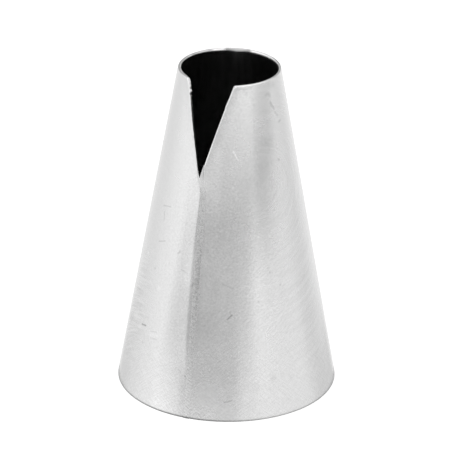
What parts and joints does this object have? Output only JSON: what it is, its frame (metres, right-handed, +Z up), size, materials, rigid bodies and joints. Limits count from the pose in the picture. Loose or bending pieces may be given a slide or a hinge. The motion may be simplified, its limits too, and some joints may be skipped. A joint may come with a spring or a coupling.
{
  "type": "piping nozzle",
  "caption": "Plain cone of thin polished steel sheet with a V notch cut down from its mouth and a straight weld below it, for piping tall wedges of cream.",
  "frame": {"origin": "centre of the base circle, in the plane of the base rim", "axes": "+Z up along the cone's axis from the base to the mouth, -Y towards the notch and the weld below it, +X to the right of one who faces the notch"},
  "size_m": [0.034, 0.0341, 0.052],
  "materials": {
    "polished_sheet": "satin polished",
    "ground_weld": "ground and polished weld"
  },
  "bodies": {
    "root": {"cone_wall": "polished_sheet", "seam_weld": "ground_weld"}
  },
  "joints": []
}
